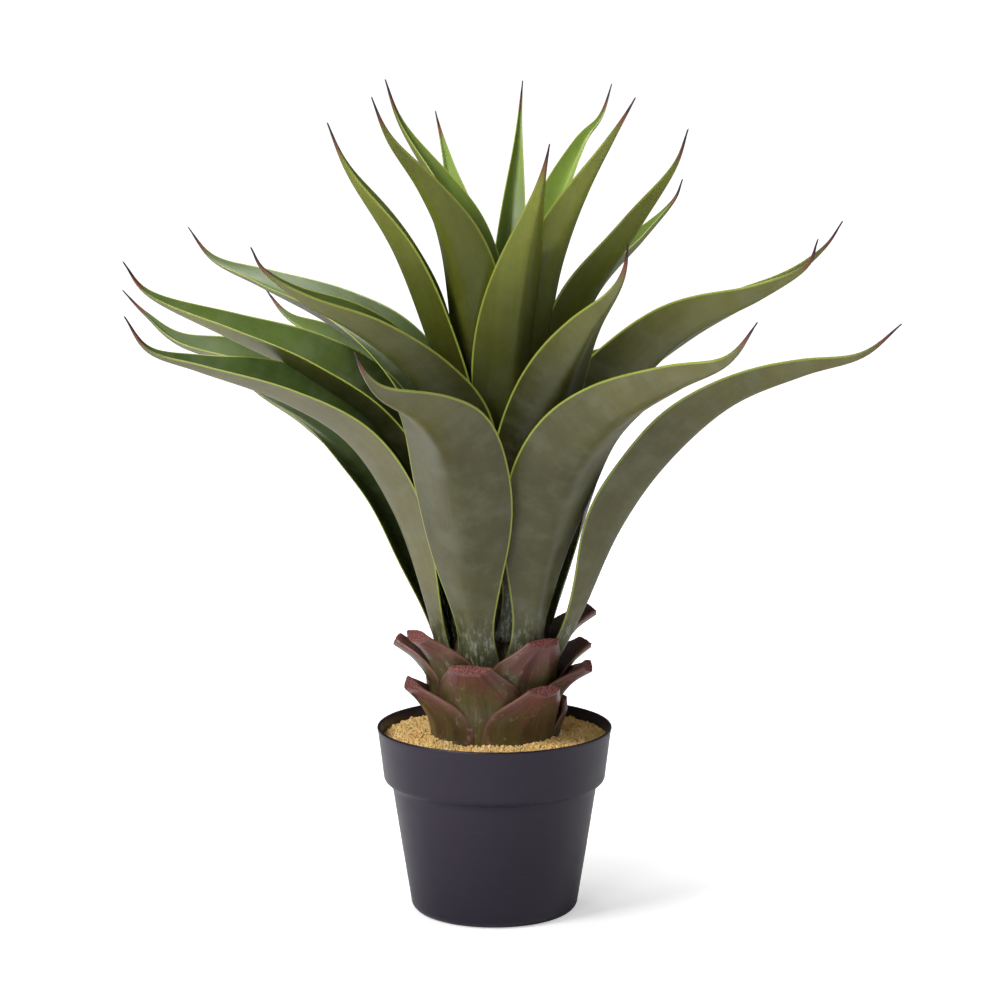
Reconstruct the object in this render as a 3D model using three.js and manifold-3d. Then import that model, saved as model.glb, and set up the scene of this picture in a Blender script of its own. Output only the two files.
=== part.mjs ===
// A rosette plant with folded, spine-tipped leaves and cut leaf bases, potted in a plain nursery pot.
// Millimetres, +Z up. The pot stands on z = 0 with its axis on Z; the front of the plant faces -Y.
import * as THREE from 'three';
import { mergeVertices } from 'three/addons/utils/BufferGeometryUtils.js';
import Module from 'manifold-3d';

// ---- Driving dimensions ----
const POT_HEIGHT = 152;
const POT_RIM_RADIUS = 95;
const POT_BAND_RADIUS = 90;
const POT_BAND_BOTTOM = 112;
const POT_STEP_RADIUS = 83;
const POT_STEP_HEIGHT = 103;
const POT_FOOT_RADIUS = 68;
const POT_CORNER = 8;
const POT_WALL = 2.5;
const POT_FLOOR = 3;
const SOIL_TOP = 138;
const GRIT_TOP = 143;
const GRIT_HEAP = 4;
const STEM_RADIUS = 43;
const STEM_BOTTOM = 70;
const STEM_SHOULDER = 208;
const STEM_TOP = 302;
const GAP = 0.35;
const ROUND_SEGMENTS = 36;

// Leaf laws: the widest place and the root, as shares of the length and of the width. Younger leaves,
// nearer the axis, are drawn in more at the root and are widest farther up.
const TIERS = {
  low: { crest: 0.4, base: 0.22 },
  mid: { crest: 0.44, base: 0.2 },
  up: { crest: 0.5, base: 0.16 },
};
const LEAF_THICKNESS = 5;
const LEAF_EDGE = 1.2;
const FOLD_AT_ROOT = 20;
const FOLD_ADDED = 30;
const FOLD_SOFTNESS = 0.22;
const LEAF_STATIONS = 11;
const SHEATH_ADDED = 0.3;
const SHEATH_SHARE = 0.13;
const STUB_CREST = 0.48;
const STUB_FOOT = 0.3;
const STUB_CUT = 0.42;
const STUB_EDGE = 1.8;
const STUB_ADDED = 9;

// Each leaf: name, azimuth in degrees (-90 is the front), full width, turn of the blade from
// root to tip in degrees, then the midrib as [reach from the axis, height] from root to tip.
const LEAVES = [
  ['leaf_low_right_far', -14, 80, -25,
    [[46, 200], [71, 249], [101, 316], [139, 371], [190, 418], [247, 444], [294, 460], [323, 486]]],
  ['leaf_low_right_front', -55, 92, -25,
    [[44, 200], [60, 265], [80, 322], [115, 377], [168, 418], [235, 450], [293, 474], [326, 507]]],
  ['leaf_low_front', -107, 92, 0,
    [[44, 198], [62, 250], [80, 290], [102, 345], [135, 392], [195, 425], [276, 452],
      [310, 472], [331, 492]]],
  ['leaf_low_left', -168, 96, -25,
    [[42, 200], [57, 262], [81, 330], [118, 387], [172, 422], [235, 446], [275, 462], [293, 490]]],
  ['leaf_low_left_back', 150, 88, -25,
    [[44, 200], [68, 252], [98, 310], [137, 355], [180, 385], [230, 410], [265, 440]]],
  ['leaf_low_back', 97, 88, 0,
    [[44, 202], [68, 255], [98, 315], [140, 362], [195, 390], [250, 406], [285, 428]]],
  ['leaf_low_back_right', 62, 88, 0,
    [[44, 200], [65, 255], [92, 320], [130, 378], [180, 420], [225, 436], [255, 455]]],
  ['leaf_low_right_back', 30, 76, 0,
    [[42, 205], [62, 262], [88, 330], [116, 390], [145, 438], [165, 465]]],
  ['leaf_mid_left', -178, 92, -25,
    [[32, 226], [42, 290], [62, 350], [98, 402], [150, 438], [210, 468], [272, 500], [293, 528]]],
  ['leaf_mid_left_back', 167, 82, -25,
    [[34, 222], [56, 290], [88, 356], [138, 404], [200, 435], [262, 454], [292, 478], [311, 498]]],
  ['leaf_mid_left_far', 153, 84, -25,
    [[28, 238], [40, 310], [62, 385], [100, 440], [150, 472], [213, 498], [262, 518], [286, 545]]],
  ['leaf_mid_left_behind', 135, 80, -20,
    [[32, 228], [45, 295], [72, 360], [106, 392], [155, 420], [210, 449], [250, 465], [278, 488]]],
  ['leaf_mid_front_left', -140, 92, -25,
    [[32, 226], [36, 310], [52, 395], [86, 442], [134, 478], [190, 508], [224, 532], [236, 551]]],
  ['leaf_mid_front_right', -62, 78, -8,
    [[34, 226], [50, 300], [76, 365], [105, 426], [150, 480], [190, 515], [205, 535], [210, 557]]],
  ['leaf_mid_right', -25, 98, -25,
    [[32, 230], [48, 310], [70, 366], [105, 417], [160, 472], [224, 507], [261, 532], [270, 554]]],
  ['leaf_mid_right_back', 12, 84, -20,
    [[28, 232], [38, 300], [62, 370], [104, 420], [165, 465], [236, 503], [272, 532], [288, 555]]],
  ['leaf_mid_back_left', 116, 78, 0,
    [[22, 246], [28, 305], [46, 360], [90, 405], [150, 430], [205, 445]]],
  ['leaf_mid_back', 78, 82, 0,
    [[34, 226], [56, 300], [88, 370], [130, 425], [175, 462], [215, 490]]],
  ['leaf_mid_back_right', 42, 78, 0,
    [[26, 242], [32, 300], [46, 370], [68, 422], [96, 458], [120, 480]]],
  ['leaf_up_left', -165, 72, -20,
    [[18, 262], [20, 335], [32, 400], [55, 470], [82, 538], [118, 598], [134, 638]]],
  ['leaf_up_front_left', -125, 66, 0,
    [[18, 266], [26, 345], [34, 430], [45, 500], [64, 545], [98, 588], [139, 628], [159, 661]]],
  ['leaf_up_left_back', 150, 62, 0,
    [[10, 288], [10, 370], [15, 460], [30, 540], [58, 588], [88, 634], [101, 669]]],
  ['leaf_up_right', -12, 64, -20,
    [[18, 266], [30, 350], [50, 425], [78, 495], [116, 556], [144, 602], [154, 633]]],
  ['leaf_up_right_front', -38, 68, -10,
    [[18, 268], [30, 350], [43, 430], [57, 503], [71, 545], [91, 586], [114, 624], [136, 659]]],
  ['leaf_up_right_back', 35, 60, 0,
    [[18, 264], [38, 350], [66, 430], [100, 495], [148, 538], [180, 568], [189, 586]]],
  ['leaf_up_front', -68, 72, 0,
    [[24, 262], [34, 330], [42, 400], [52, 470], [70, 530], [97, 590], [112, 625]]],
  ['leaf_up_back_left', 108, 46, 0,
    [[16, 276], [32, 380], [58, 470], [86, 545], [125, 595], [160, 640]]],
  ['leaf_up_back', 79, 36, 40,
    [[12, 288], [24, 380], [40, 470], [62, 550], [90, 610], [120, 666]]],
  ['leaf_up_back_right', 54, 56, 0,
    [[15, 280], [34, 370], [56, 460], [82, 550], [122, 612], [150, 636], [165, 663]]],
  ['leaf_up_back_low', 88, 54, 0,
    [[24, 256], [42, 350], [72, 430], [122, 490], [190, 520], [240, 548]]],
];

// Cut leaf bases in three rising turns: name, azimuth, foot height, top height, reach of the cut,
// full width measured round the stem.
const STUBS = [
  ['stub_low_left', -165, 116, 189, 70, 96],
  ['stub_low_front_right', -53, 116, 192, 67, 78],
  ['stub_low_right', 15, 116, 172, 55, 70],
  ['stub_low_back', 78, 116, 188, 64, 70],
  ['stub_low_back_left', 138, 116, 188, 64, 70],
  ['stub_middle_front', -107, 136, 211, 66, 82],
  ['stub_middle_right', -12, 136, 204, 77, 66],
  ['stub_middle_right_back', 22, 140, 214, 80, 60],
  ['stub_middle_back', 106, 136, 210, 66, 70],
  ['stub_middle_left', 176, 144, 222, 79, 60],
  ['stub_high_front_left', -146, 156, 234, 75, 70],
  ['stub_high_front_right', -52, 156, 230, 64, 78],
  ['stub_high_right_back', 16, 164, 243, 82, 60],
  ['stub_high_back', 100, 160, 230, 64, 66],
];

const POT_COLOUR = 0x2c2833;
const SOIL_COLOUR = 0x3a2c20;
const GRIT_COLOUR = 0xc39a55;
const STEM_COLOUR = 0x5d5138;
const STUB_COLOUR = 0x6b4238;
const LEAF_COLOUR = 0x5f6b3a;

const wasm = await Module();
wasm.setup();
const { Manifold } = wasm;

function toManifold(geometry) {
  const bare = new THREE.BufferGeometry();
  bare.setAttribute('position', geometry.getAttribute('position'));
  if (geometry.index) bare.setIndex(geometry.index);
  const welded = mergeVertices(bare, 1e-4);
  return new Manifold(new wasm.Mesh({
    numProp: 3,
    vertProperties: new Float32Array(welded.getAttribute('position').array),
    triVerts: new Uint32Array(welded.index.array),
  }));
}

function toGeometry(solid) {
  const mesh = solid.getMesh();
  const geometry = new THREE.BufferGeometry();
  geometry.setAttribute('position', new THREE.BufferAttribute(mesh.vertProperties, 3));
  geometry.setIndex(new THREE.BufferAttribute(mesh.triVerts, 1));
  return geometry;
}

function largest(solid) {
  const bodies = solid.decompose();
  bodies.sort((a, b) => b.volume() - a.volume());
  return bodies[0];
}

function turned(profile) {
  const points = profile.map(([r, z]) => new THREE.Vector2(r, z));
  const geometry = new THREE.LatheGeometry(points, ROUND_SEGMENTS);
  geometry.rotateX(Math.PI / 2);
  return toManifold(geometry);
}

// ---- Blades: leaves and stubs share one lofted section ----
function widthShare(s, { crest, base }) {
  if (s < crest) {
    const sheath = SHEATH_ADDED * Math.max(0, 1 - s / SHEATH_SHARE) ** 2;
    return base + sheath + (1 - base) * Math.sin((Math.PI / 2) * (s / crest)) ** 2;
  }
  return Math.cos((Math.PI / 2) * ((s - crest) / (1 - crest))) ** 1.6;
}

function folded(u) {
  const k = FOLD_SOFTNESS;
  return (Math.sqrt(u * u + k * k) - k) / (Math.sqrt(1 + k * k) - k);
}

function loft(rings) {
  const count = rings[0].length;
  const positions = [];
  const indices = [];
  rings.forEach((ring) => ring.forEach((p) => positions.push(p.x, p.y, p.z)));
  for (let i = 0; i < rings.length - 1; i += 1) {
    for (let j = 0; j < count; j += 1) {
      const a = i * count + j;
      const b = i * count + ((j + 1) % count);
      indices.push(a, b, a + count, b, b + count, a + count);
    }
  }
  const top = (rings.length - 1) * count;
  for (let j = 1; j < count - 1; j += 1) {
    indices.push(0, j + 1, j);
    indices.push(top, top + j, top + j + 1);
  }
  const geometry = new THREE.BufferGeometry();
  geometry.setAttribute('position', new THREE.Float32BufferAttribute(positions, 3));
  geometry.setIndex(indices);
  return toManifold(geometry);
}

// A blade follows its midrib; `section(s)` gives the outline as [across, lift] pairs at share s.
function blade(azimuth, midrib, turn, stations, section) {
  const angle = THREE.MathUtils.degToRad(azimuth);
  const outward = new THREE.Vector3(Math.cos(angle), Math.sin(angle), 0);
  const sideways = new THREE.Vector3(-Math.sin(angle), Math.cos(angle), 0);
  const knots = midrib.map(([reach, height]) =>
    outward.clone().multiplyScalar(reach).setZ(height));
  const curve = new THREE.CatmullRomCurve3(knots, false, 'catmullrom', 0.5);
  const rings = [];
  for (let i = 0; i <= stations; i += 1) {
    const s = i / stations;
    const centre = curve.getPointAt(s);
    const along = curve.getTangentAt(s);
    const normal = new THREE.Vector3().crossVectors(along, sideways).normalize();
    const roll = THREE.MathUtils.degToRad(turn * s);
    const across = sideways.clone().multiplyScalar(Math.cos(roll))
      .addScaledVector(normal, Math.sin(roll));
    const lift = normal.clone().multiplyScalar(Math.cos(roll))
      .addScaledVector(sideways, -Math.sin(roll));
    rings.push(section(s).map(([x, y]) =>
      centre.clone().addScaledVector(across, x).addScaledVector(lift, y)));
  }
  return loft(rings);
}

function leafSection(width, tier, grow) {
  const shares = [-1, -0.5, 0, 0.5, 1];
  return (s) => {
    const half = (width / 2) * widthShare(Math.min(s, 0.995), tier) + 0.5 + grow;
    const fold = THREE.MathUtils.degToRad(FOLD_AT_ROOT + FOLD_ADDED * s);
    const midrib = Math.max(LEAF_THICKNESS * (1 - s), LEAF_EDGE);
    const upper = [];
    const lower = [];
    shares.forEach((u) => {
      const thick = LEAF_EDGE + (midrib - LEAF_EDGE) * (1 - u * u) + 2 * grow;
      const x = half * u * Math.cos(fold);
      const y = half * folded(u) * Math.sin(fold);
      upper.push([x, y + Math.min(thick, half * 1.4) / 2]);
      lower.push([x, y - Math.min(thick, half * 1.4) / 2]);
    });
    return [...lower, ...upper.reverse()];
  };
}

function leafSolid([name, azimuth, width, turn, midrib], grow = 0) {
  const tier = TIERS[name.split('_')[1]];
  return blade(azimuth, midrib, turn, LEAF_STATIONS, leafSection(width, tier, grow));
}

// A stub is a shield: pointed at its foot, wrapped round the stem at its widest, then drawn in to a
// thick cut that hooks outwards.
function stubShare(s) {
  if (s < STUB_CREST) {
    return STUB_FOOT + (1 - STUB_FOOT) * Math.sin((Math.PI / 2) * (s / STUB_CREST)) ** 0.9;
  }
  return STUB_CUT + (1 - STUB_CUT) * Math.cos((Math.PI / 2) * ((s - STUB_CREST) / (1 - STUB_CREST))) ** 1.3;
}

function stubSection(width, grow) {
  const shares = [-1, -0.55, 0, 0.55, 1];
  return (s) => {
    const half = (width / 2) * stubShare(s) + grow;
    const wrap = STEM_RADIUS + 5 + 5 * s;
    const upper = [];
    const lower = [];
    shares.forEach((u) => {
      const thick = STUB_EDGE + (STUB_ADDED * (0.4 + 0.6 * s * s)) * (1 - u * u) + 2 * grow;
      const turn = (half * u) / wrap;
      const y = wrap * (1 - Math.cos(turn));
      upper.push([(wrap - thick / 2) * Math.sin(turn), y + (thick / 2) * Math.cos(turn)]);
      lower.push([(wrap + thick / 2) * Math.sin(turn), y - (thick / 2) * Math.cos(turn)]);
    });
    return [...lower, ...upper.reverse()];
  };
}

function stubSolid([, azimuth, foot, top, reach, width], grow = 0) {
  const rise = top - foot;
  const root = STEM_RADIUS + 2.5;
  const midrib = [
    [root, foot], [root + 2.5, foot + rise * 0.3], [root + 5, foot + rise * 0.6],
    [root + 7 + (reach - root) * 0.3, foot + rise * 0.84], [reach, top],
  ];
  return blade(azimuth, midrib, 0, 7, stubSection(width, grow));
}

// ---- Pot, soil, grit and stem ----
function potSolid() {
  const inner = (r) => r - POT_WALL;
  return turned([
    [0, 0], [POT_FOOT_RADIUS - POT_CORNER, 0], [POT_FOOT_RADIUS - 2.5, 2.2],
    [POT_FOOT_RADIUS, POT_CORNER], [POT_STEP_RADIUS, POT_STEP_HEIGHT],
    [POT_BAND_RADIUS - 0.8, POT_BAND_BOTTOM - 4], [POT_BAND_RADIUS, POT_BAND_BOTTOM],
    [POT_RIM_RADIUS - 0.5, POT_HEIGHT - 3], [POT_RIM_RADIUS, POT_HEIGHT - 1.4],
    [POT_RIM_RADIUS - 1, POT_HEIGHT], [inner(POT_RIM_RADIUS) + 0.3, POT_HEIGHT - 0.4],
    [inner(POT_RIM_RADIUS) - 0.5, POT_HEIGHT - 3], [inner(POT_BAND_RADIUS), POT_BAND_BOTTOM],
    [inner(POT_BAND_RADIUS) - 0.8, POT_BAND_BOTTOM - 3.4], [inner(POT_STEP_RADIUS), POT_STEP_HEIGHT],
    [inner(POT_FOOT_RADIUS), POT_CORNER], [inner(POT_FOOT_RADIUS) - 4, POT_FLOOR], [0, POT_FLOOR],
  ]);
}

function innerRadius(z) {
  const share = (z - POT_BAND_BOTTOM) / (POT_HEIGHT - 3 - POT_BAND_BOTTOM);
  const rim = POT_RIM_RADIUS - 0.5;
  return POT_BAND_RADIUS + (rim - POT_BAND_RADIUS) * share - POT_WALL - GAP - 0.3;
}

function soilSolid() {
  const side = POT_WALL + GAP + 0.4;
  return turned([
    [0, POT_FLOOR + GAP], [POT_FOOT_RADIUS - side - 4.5, POT_FLOOR + GAP],
    [POT_FOOT_RADIUS - side, POT_CORNER], [POT_STEP_RADIUS - side, POT_STEP_HEIGHT],
    [POT_BAND_RADIUS - side - 1, POT_BAND_BOTTOM - 3.4], [innerRadius(POT_BAND_BOTTOM), POT_BAND_BOTTOM],
    [innerRadius(SOIL_TOP), SOIL_TOP], [0, SOIL_TOP],
  ]);
}

function gritSolid() {
  return turned([
    [0, SOIL_TOP + GAP], [innerRadius(SOIL_TOP + GAP), SOIL_TOP + GAP],
    [innerRadius(GRIT_TOP), GRIT_TOP], [80, GRIT_TOP + 0.8], [62, GRIT_TOP + GRIT_HEAP],
    [0, GRIT_TOP + GRIT_HEAP + 1],
  ]);
}

function stemSolid(grow = 0) {
  const r = (value) => value + grow;
  return turned([
    [0, STEM_BOTTOM - grow], [r(STEM_RADIUS - 10), STEM_BOTTOM - grow],
    [r(STEM_RADIUS), STEM_BOTTOM + 30], [r(STEM_RADIUS), STEM_SHOULDER],
    [r(33), 228], [r(26), 246], [r(18), 268], [r(11), 290], [r(5), 299],
    [0, STEM_TOP + grow],
  ]);
}

// ---- Assembly: each solid is relieved around the ones already placed ----
const group = new THREE.Group();
group.name = 'potted_rosette_plant';

function addNode(name, solid, colour, roughness) {
  const material = new THREE.MeshStandardMaterial({ color: colour, roughness, metalness: 0 });
  material.name = name;
  const mesh = new THREE.Mesh(toGeometry(solid), material);
  mesh.name = name;
  group.add(mesh);
}

const placed = [stemSolid(GAP)];
const boxes = [placed[0].boundingBox()];

function touches(a, b) {
  return [0, 1, 2].every((i) => a.min[i] < b.max[i] && b.min[i] < a.max[i]);
}

function relieved(solid) {
  const box = solid.boundingBox();
  const near = placed.filter((other, i) => touches(box, boxes[i]));
  return largest(Manifold.difference([solid, ...near]).simplify(0.12));
}

function place(grown) {
  placed.push(grown);
  boxes.push(grown.boundingBox());
}

addNode('pot', potSolid(), POT_COLOUR, 0.45);
addNode('stem', stemSolid(), STEM_COLOUR, 0.7);

const stubs = STUBS.map((entry) => {
  const solid = relieved(stubSolid(entry));
  place(stubSolid(entry, GAP));
  return solid;
});

const stemAndStubs = [...placed];
addNode('soil', largest(Manifold.difference([soilSolid(), ...stemAndStubs])), SOIL_COLOUR, 0.95);
addNode('grit', largest(Manifold.difference([gritSolid(), ...stemAndStubs])), GRIT_COLOUR, 0.9);
STUBS.forEach(([name], i) => addNode(name, stubs[i], STUB_COLOUR, 0.55));

LEAVES.forEach((entry) => {
  addNode(entry[0], relieved(leafSolid(entry)), LEAF_COLOUR, 0.5);
  place(leafSolid(entry, GAP));
});

export default group;
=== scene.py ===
"""Potted rosette plant: folded, spine-tipped leaves on a stem of cut leaf bases, in a nursery pot.

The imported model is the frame. Each leaf, cut base, the stem, the grit and the pot gets a finely shaped
skin in the same place, and the soil keeps its solid with a finish of its own. Lengths in the tables are
in millimetres and angles in degrees; meshes are in metres, +Z up, with the front of the plant at -Y.
"""

import logging
import math
from dataclasses import dataclass
from enum import Enum

import bmesh
import bpy
import numpy as np
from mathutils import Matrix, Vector


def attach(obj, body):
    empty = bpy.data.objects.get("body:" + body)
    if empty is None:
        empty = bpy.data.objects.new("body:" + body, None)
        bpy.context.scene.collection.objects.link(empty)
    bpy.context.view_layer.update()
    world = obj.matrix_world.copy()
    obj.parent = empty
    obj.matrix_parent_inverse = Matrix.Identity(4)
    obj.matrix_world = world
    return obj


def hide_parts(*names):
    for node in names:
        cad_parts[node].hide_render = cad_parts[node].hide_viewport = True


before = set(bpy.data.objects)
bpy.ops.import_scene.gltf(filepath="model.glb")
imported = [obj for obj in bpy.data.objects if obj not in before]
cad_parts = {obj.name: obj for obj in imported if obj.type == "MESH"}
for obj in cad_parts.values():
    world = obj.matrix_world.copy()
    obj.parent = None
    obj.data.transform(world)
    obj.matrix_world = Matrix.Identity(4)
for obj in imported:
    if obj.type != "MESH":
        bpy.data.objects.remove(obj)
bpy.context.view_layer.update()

LOG = logging.getLogger("potted_plant")
MM = 0.001
Array = np.ndarray
Material = bpy.types.Material
Object = bpy.types.Object
Socket = bpy.types.NodeSocket
Tree = bpy.types.NodeTree
Points = tuple[tuple[float, float], ...]
Pair = tuple[float, float]
Rgba = tuple[float, float, float, float]


# ---------------------------------------------------------------- node graph helpers


class Graph:
    """A thin wrapper round a node tree that makes nodes and links in reading order."""

    def __init__(self, tree: Tree) -> None:
        """Keeps the tree."""
        self.tree = tree

    def node(self, kind: str, inputs: dict | None = None, **settings: object) -> bpy.types.Node:
        """Makes one node.

        Args:
            kind: the node's type, without "ShaderNode".
            inputs: values or sockets for its inputs, by name or number.
            settings: properties to set on it, such as operation="ADD".

        Returns:
            The new node.
        """
        made = self.tree.nodes.new("ShaderNode" + kind)
        for key, value in settings.items():
            setattr(made, key, value)
        for key, value in (inputs or {}).items():
            self.plug(made.inputs[key], value)
        return made

    def plug(self, socket: Socket, value: object) -> None:
        """Feeds a socket.

        Args:
            socket: the input to feed.
            value: a socket to link to it, a plain value to write into it, or None to leave it alone.
        """
        if isinstance(value, Socket):
            self.tree.links.new(value, socket)
        elif value is not None:
            socket.default_value = value

    def math(self, operation: str, a: object, b: object, clamp: bool = False) -> Socket:
        """Returns a Math node's result for two inputs."""
        return self.node("Math", {0: a, 1: b}, operation=operation, use_clamp=clamp).outputs[0]

    def times(self, a: object, b: object, clamp: bool = False) -> Socket:
        """Returns a times b."""
        return self.math("MULTIPLY", a, b, clamp)

    def plus(self, a: object, b: object) -> Socket:
        """Returns a plus b."""
        return self.math("ADD", a, b)

    def minus(self, a: object, b: object) -> Socket:
        """Returns a less b."""
        return self.math("SUBTRACT", a, b)

    def gain(self, shade: object, factor: object) -> Socket:
        """Returns a colour lightened or darkened by a factor."""
        return self.node("VectorMath", {0: shade, "Scale": factor}, operation="SCALE").outputs[0]

    def span(self, value: object, low: float, high: float, **settings: object) -> Socket:
        """Returns low at 0 and high at 1, straight between them."""
        inputs = {"Value": value, "To Min": low, "To Max": high}
        return self.node("MapRange", inputs, **settings).outputs["Result"]

    def fade(self, value: object, start: float, end: float) -> Socket:
        """Eases a value with a smoothstep.

        Args:
            value: what is eased.
            start: where the result is 0.
            end: where it is 1; it may be below start.

        Returns:
            The eased value.
        """
        flipped = float(start > end)
        inputs = {"Value": value, "From Min": min(start, end), "From Max": max(start, end)}
        inputs |= {"To Min": flipped, "To Max": 1.0 - flipped}
        return self.node("MapRange", inputs, interpolation_type="SMOOTHSTEP").outputs["Result"]

    def mix(self, factor: object, a: object, b: object) -> Socket:
        """Returns a colour mixed from a to b by factor."""
        inputs = {"Factor": factor, "A": a, "B": b}
        return self.node("Mix", inputs, data_type="RGBA").outputs["Result"]

    def noise(self, vector: object, scale: object, detail: float, rough: float) -> Socket:
        """Returns fractal noise from 0 to 1."""
        inputs = {"Vector": vector, "Scale": scale, "Detail": detail, "Roughness": rough}
        return self.node("TexNoise", inputs).outputs["Fac"]

    def attribute(self, name: str) -> Socket:
        """Returns a mesh attribute's value."""
        return self.node("Attribute", attribute_name=name).outputs["Fac"]

    def blade_map(self) -> Socket:
        """Returns the map that runs along a leaf or a cut base."""
        return self.node("UVMap", uv_map="blade").outputs[0]

    def place(self) -> Socket:
        """Returns Object coordinates, in metres."""
        return self.node("TexCoord").outputs["Object"]

    def scaled(self, vector: object, *scale: float) -> Socket:
        """Returns a vector stretched along its axes."""
        return self.node("Mapping", {"Vector": vector, "Scale": scale}).outputs["Vector"]

    def bump(
        self, height: object, strength: object, distance: float, normal: object = None
    ) -> Socket:
        """Returns a normal shaped by a height, with distance in metres."""
        inputs = {"Strength": strength, "Distance": distance, "Height": height, "Normal": normal}
        return self.node("Bump", inputs).outputs["Normal"]

    def group(self, tree: Tree, **values: object) -> dict[str, Socket]:
        """Places a shader node group.

        Args:
            tree: the group.
            values: its inputs, by name.

        Returns:
            Its outputs, by name.
        """
        made = self.node("Group", node_tree=tree)
        for key, value in values.items():
            self.plug(made.inputs[key], value)
        return {socket.name: socket for socket in made.outputs}


class Skin(Graph):
    """The graph of a new material that has one Principled BSDF."""

    def __init__(self, name: str) -> None:
        """Makes the material and links its shader to the output."""
        self.material = bpy.data.materials.new(name)
        self.material.use_nodes = True
        super().__init__(self.material.node_tree)
        self.tree.nodes.clear()
        self.principled = self.node("BsdfPrincipled")
        self.node("OutputMaterial", {0: self.principled.outputs[0]})

    def finish(
        self, base: object, rough: object, normal: object = None, specular: float = 0.5
    ) -> Material:
        """Plugs the surface into the shader.

        Args:
            base: base colour.
            rough: roughness.
            normal: normal, or None for the mesh's own.
            specular: specular level.

        Returns:
            The material.
        """
        names = ("Base Color", "Roughness", "Normal", "Specular IOR Level")
        for name, value in zip(names, (base, rough, normal, specular)):
            self.plug(self.principled.inputs[name], value)
        return self.material


def colour(*display: int) -> Rgba:
    """Returns a display colour, of more than 10 and up to 255 a channel, as linear RGBA.

    Each channel's share c of 255 is undone from the display curve: ((c + 0.055) / 1.055) to the power 2.4.
    """
    return (*(((c / 255.0 + 0.055) / 1.055) ** 2.4 for c in display), 1.0)


class SharedGroups:
    """The shader node groups that more than one finish uses, each built once."""

    def __init__(self) -> None:
        """Builds the three groups."""
        self.mottle = self._mottle()
        self.fibres = self._fibres()
        self.grain = self._grain()

    @staticmethod
    def _start(name: str, given: dict[str, str], results: dict[str, str]) -> tuple[Graph, dict, dict]:
        """Makes an empty group with named sockets.

        Args:
            name: the group's name.
            given: kinds of its inputs, by name.
            results: kinds of its outputs, by name.

        Returns:
            A graph on the group, its input sockets by name and its output sockets by name.
        """
        tree = bpy.data.node_groups.new(name, "ShaderNodeTree")
        for way, kinds in (("INPUT", given), ("OUTPUT", results)):
            for title, kind in kinds.items():
                tree.interface.new_socket(title, in_out=way, socket_type="NodeSocket" + kind)
        entry = tree.nodes.new("NodeGroupInput")
        leave = tree.nodes.new("NodeGroupOutput")
        return Graph(tree), {s.name: s for s in entry.outputs}, {s.name: s for s in leave.inputs}

    def _mottle(self) -> Tree:
        """Returns broad and fine patches: two noises on Object coordinates lighten and darken a colour."""
        given = {"Colour": "Color", "Amount": "Float", "Seed": "Float"}
        g, given, out = self._start("mottle", given, {"Colour": "Color"})
        shift = g.node("CombineXYZ", {2: given["Seed"]}).outputs[0]
        place = g.node("VectorMath", {0: g.place(), 1: shift}, operation="ADD").outputs[0]
        broad = g.noise(place, 18.0, 3.0, 0.55)
        fine = g.noise(place, 130.0, 4.0, 0.65)
        mask = g.fade(g.plus(g.times(broad, 0.65), g.times(fine, 0.35)), 0.36, 0.64)
        factor = g.plus(1.0, g.times(g.minus(mask, 0.5), given["Amount"]))
        g.plug(out["Colour"], g.gain(given["Colour"], factor))
        return g.tree

    def _fibres(self) -> Tree:
        """Returns lengthwise lines: noise on the blade's own map, drawn out along it, round 0.5."""
        g, given, out = self._start("fibres", {"Map": "Vector"}, {"Lines": "Float", "Bands": "Float"})
        g.plug(out["Lines"], g.noise(g.scaled(given["Map"], 95.0, 3.2, 1.0), 1.0, 3.0, 0.6))
        g.plug(out["Bands"], g.noise(g.scaled(given["Map"], 14.0, 1.6, 1.0), 1.0, 2.0, 0.5))
        return g.tree

    def _grain(self) -> Tree:
        """Returns crumbly grain: small cells plus fine noise, as a height and a speckle mask."""
        g, given, out = self._start("grain", {"Scale": "Float"}, {"Height": "Float", "Speckle": "Float"})
        place = g.place()
        cells = g.node("TexVoronoi", {"Vector": place, "Scale": given["Scale"]}, feature="F1")
        fine = g.noise(place, g.times(given["Scale"], 1.7), 3.0, 0.5)
        rise = g.minus(1.0, cells.outputs["Distance"])
        g.plug(out["Height"], g.plus(g.times(rise, 0.6), g.times(fine, 0.4)))
        g.plug(out["Speckle"], g.fade(fine, 0.42, 0.62))
        return g.tree


# ---------------------------------------------------------------- finishes


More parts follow.
